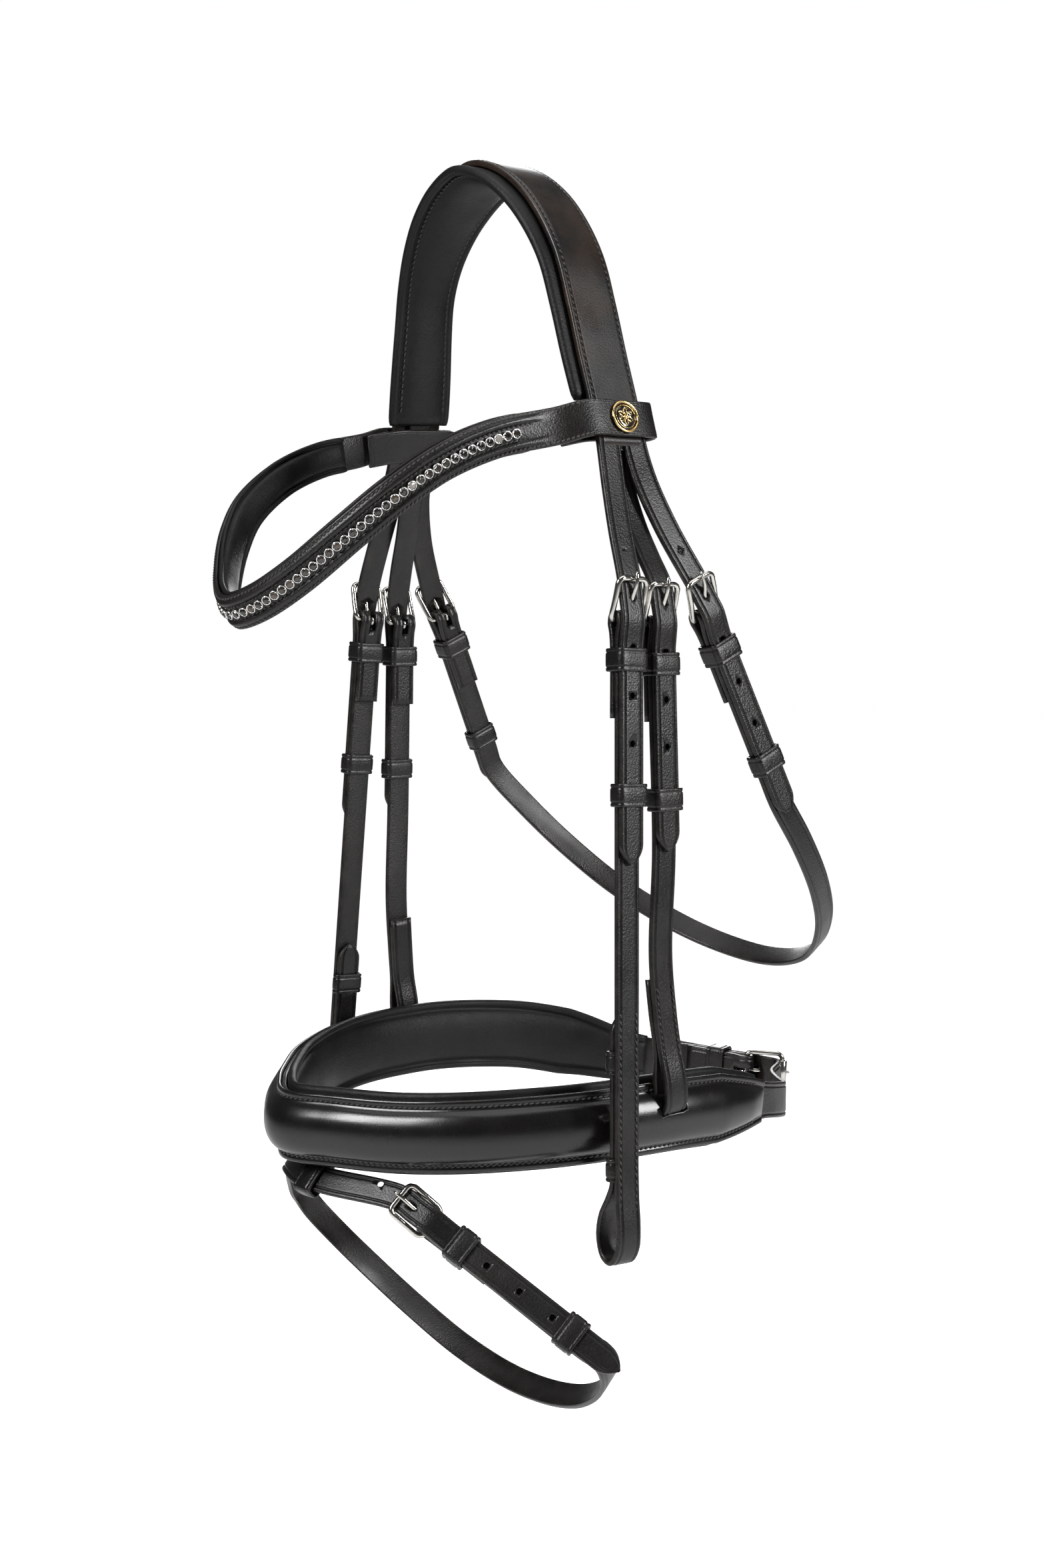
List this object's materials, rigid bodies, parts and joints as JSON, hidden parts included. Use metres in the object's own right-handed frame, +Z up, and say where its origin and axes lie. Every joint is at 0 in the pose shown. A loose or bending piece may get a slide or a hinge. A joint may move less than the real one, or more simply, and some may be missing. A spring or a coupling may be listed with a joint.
{
  "type": "snaffle bridle",
  "caption": "Leather headstall for a horse with padded crown, curved jewelled browband, buckled cheekpieces, rolled noseband, throatlatch and flash strap.",
  "frame": {"origin": "underside of the crown's lining at the middle of the poll", "axes": "+Z up, -Y towards the brow and nose, +X towards the horse's left"},
  "size_m": [0.2618, 0.3322, 0.5793],
  "materials": {
    "strap_leather": "semi-gloss black grain leather with dark edges",
    "padded_leather": "glossy smooth black leather over padding",
    "soft_lining": "matt soft black lining leather",
    "nickel": "polished nickel plate",
    "gilt": "polished gilt rim",
    "crystal_chain": "bright cups with clear and dark stones"
  },
  "bodies": {
    "headpiece": {"crown_strap": "strap_leather", "crown_lining": "soft_lining", "noseband_sliphead": "strap_leather", "browband": "strap_leather", "browband_lining": "soft_lining", "crystal_row": "crystal_chain", "badge": "gilt", "cheekpiece_left": "strap_leather", "cheek_hook_stud_left": "nickel", "bit_keeper_upper_left": "strap_leather", "bit_keeper_lower_left": "strap_leather", "cheek_buckle_frame_left": "nickel", "cheek_keeper_left": "strap_leather", "cheekpiece_right": "strap_leather", "cheek_hook_stud_right": "nickel", "bit_keeper_upper_right": "strap_leather", "bit_keeper_lower_right": "strap_leather", "cheek_buckle_frame_right": "nickel", "cheek_keeper_right": "strap_leather"},
    "throatlatch_loop": {"throatlatch": "strap_leather", "throat_billet_left": "strap_leather", "throat_buckle_frame_left": "nickel", "throat_keeper_left": "strap_leather", "throat_billet_right": "strap_leather", "throat_buckle_frame_right": "nickel", "throat_keeper_right": "strap_leather"},
    "noseband_ring": {"noseband_strap": "strap_leather", "noseband_roll": "padded_leather", "noseband_lining": "soft_lining", "chin_buckle_frame": "nickel", "chin_keeper": "strap_leather", "noseband_billet_left": "strap_leather", "noseband_hanger_left": "strap_leather", "hanger_buckle_frame_left": "nickel", "hanger_keeper_left": "strap_leather", "noseband_billet_right": "strap_leather", "noseband_hanger_right": "strap_leather", "hanger_buckle_frame_right": "nickel", "hanger_keeper_right": "strap_leather"},
    "flash_loop": {"flash_strap": "strap_leather", "flash_tab": "strap_leather", "flash_buckle_frame": "nickel", "flash_keeper": "strap_leather"},
    "cheek_tongue_left": {"cheek_buckle_tongue_left": "nickel"},
    "cheek_runner_left_body": {"cheek_runner_left": "strap_leather"},
    "cheek_tongue_right": {"cheek_buckle_tongue_right": "nickel"},
    "cheek_runner_right_body": {"cheek_runner_right": "strap_leather"},
    "hanger_tongue_left": {"hanger_buckle_tongue_left": "nickel"},
    "hanger_runner_left_body": {"hanger_runner_left": "strap_leather"},
    "hanger_tongue_right": {"hanger_buckle_tongue_right": "nickel"},
    "hanger_runner_right_body": {"hanger_runner_right": "strap_leather"},
    "throat_tongue_left": {"throat_buckle_tongue_left": "nickel"},
    "throat_runner_left_body": {"throat_runner_left": "strap_leather"},
    "throat_tongue_right": {"throat_buckle_tongue_right": "nickel"},
    "throat_runner_right_body": {"throat_runner_right": "strap_leather"},
    "chin_tongue": {"chin_buckle_tongue": "nickel"},
    "roller": {"chin_roller": "nickel"},
    "flash_tongue": {"flash_buckle_tongue": "nickel"},
    "flash_runner_body": {"flash_runner": "strap_leather"}
  },
  "joints": [
    {"name": "throatlatch_swing", "type": "hinge", "parent": "headpiece", "child": "throatlatch_loop", "pos_m": [0, 0.0174, -0.1292], "axis": [1, 0, 0], "range_deg": [0, 30]},
    {"name": "noseband_swing", "type": "hinge", "parent": "headpiece", "child": "noseband_ring", "pos_m": [0, 0.0085, -0.1215], "axis": [1, 0, 0], "range_deg": [0, 2]},
    {"name": "flash_swing", "type": "hinge", "parent": "noseband_ring", "child": "flash_loop", "pos_m": [0, -0.105, -0.44], "axis": [1, 0, 0], "range_deg": [-35, 6]},
    {"name": "cheek_tongue_rock_left", "type": "hinge", "parent": "headpiece", "child": "cheek_tongue_left", "pos_m": [0.104, -0.0035, -0.199], "axis": [0.003, 0.9989, -0.047], "range_deg": [0, 8]},
    {"name": "cheek_runner_slide_left", "type": "slide", "parent": "headpiece", "child": "cheek_runner_left_body", "axis": [0.0645, -0.0471, -0.9968], "range_m": [-0.016, 0.018]},
    {"name": "cheek_tongue_rock_right", "type": "hinge", "parent": "headpiece", "child": "cheek_tongue_right", "pos_m": [-0.104, -0.0035, -0.199], "axis": [0.003, -0.9989, 0.047], "range_deg": [0, 8]},
    {"name": "cheek_runner_slide_right", "type": "slide", "parent": "headpiece", "child": "cheek_runner_right_body", "axis": [-0.0645, -0.0471, -0.9968], "range_m": [-0.016, 0.018]},
    {"name": "hanger_tongue_rock_left", "type": "hinge", "parent": "noseband_ring", "child": "hanger_tongue_left", "pos_m": [0.103, 0.0152, -0.201], "axis": [-0.0002, 1, 0.0048], "range_deg": [0, 8]},
    {"name": "hanger_runner_slide_left", "type": "slide", "parent": "noseband_ring", "child": "hanger_runner_left_body", "axis": [0.0381, 0.0048, -0.9993], "range_m": [-0.015, 0.012]},
    {"name": "hanger_tongue_rock_right", "type": "hinge", "parent": "noseband_ring", "child": "hanger_tongue_right", "pos_m": [-0.103, 0.0152, -0.201], "axis": [-0.0002, -1, -0.0048], "range_deg": [0, 8]},
    {"name": "hanger_runner_slide_right", "type": "slide", "parent": "noseband_ring", "child": "hanger_runner_right_body", "axis": [-0.0381, 0.0048, -0.9993], "range_m": [-0.015, 0.012]},
    {"name": "throat_tongue_rock_left", "type": "hinge", "parent": "throatlatch_loop", "child": "throat_tongue_left", "pos_m": [0.104, 0.042, -0.197], "axis": [-0.0349, 0.9098, 0.4136], "range_deg": [0, 8]},
    {"name": "throat_runner_slide_left", "type": "slide", "parent": "throatlatch_loop", "child": "throat_runner_left_body", "axis": [0.0765, 0.4151, -0.9066], "range_m": [-0.012, 0.01]},
    {"name": "throat_tongue_rock_right", "type": "hinge", "parent": "throatlatch_loop", "child": "throat_tongue_right", "pos_m": [-0.104, 0.042, -0.197], "axis": [-0.0349, -0.9098, -0.4136], "range_deg": [0, 8]},
    {"name": "throat_runner_slide_right", "type": "slide", "parent": "throatlatch_loop", "child": "throat_runner_right_body", "axis": [-0.0765, 0.4151, -0.9066], "range_m": [-0.012, 0.01]},
    {"name": "chin_tongue_rock", "type": "hinge", "parent": "noseband_ring", "child": "chin_tongue", "pos_m": [-0.008, 0.1715, -0.44], "axis": [0.0464, 0.0184, 0.9988], "range_deg": [0, 8]},
    {"name": "chin_roller_spin", "type": "hinge", "parent": "noseband_ring", "child": "roller", "pos_m": [0.00536, 0.18521, -0.44087], "axis": [0.0464, 0.0184, 0.9988], "continuous": true},
    {"name": "flash_tongue_rock", "type": "hinge", "parent": "flash_loop", "child": "flash_tongue", "pos_m": [0.0585, -0.074, -0.463], "axis": [0.0493, 0.7247, 0.6873], "range_deg": [0, 8]},
    {"name": "flash_runner_slide", "type": "slide", "parent": "flash_loop", "child": "flash_runner_body", "axis": [0.7171, 0.4534, -0.5294], "range_m": [-0.014, 0.001]}
  ]
}
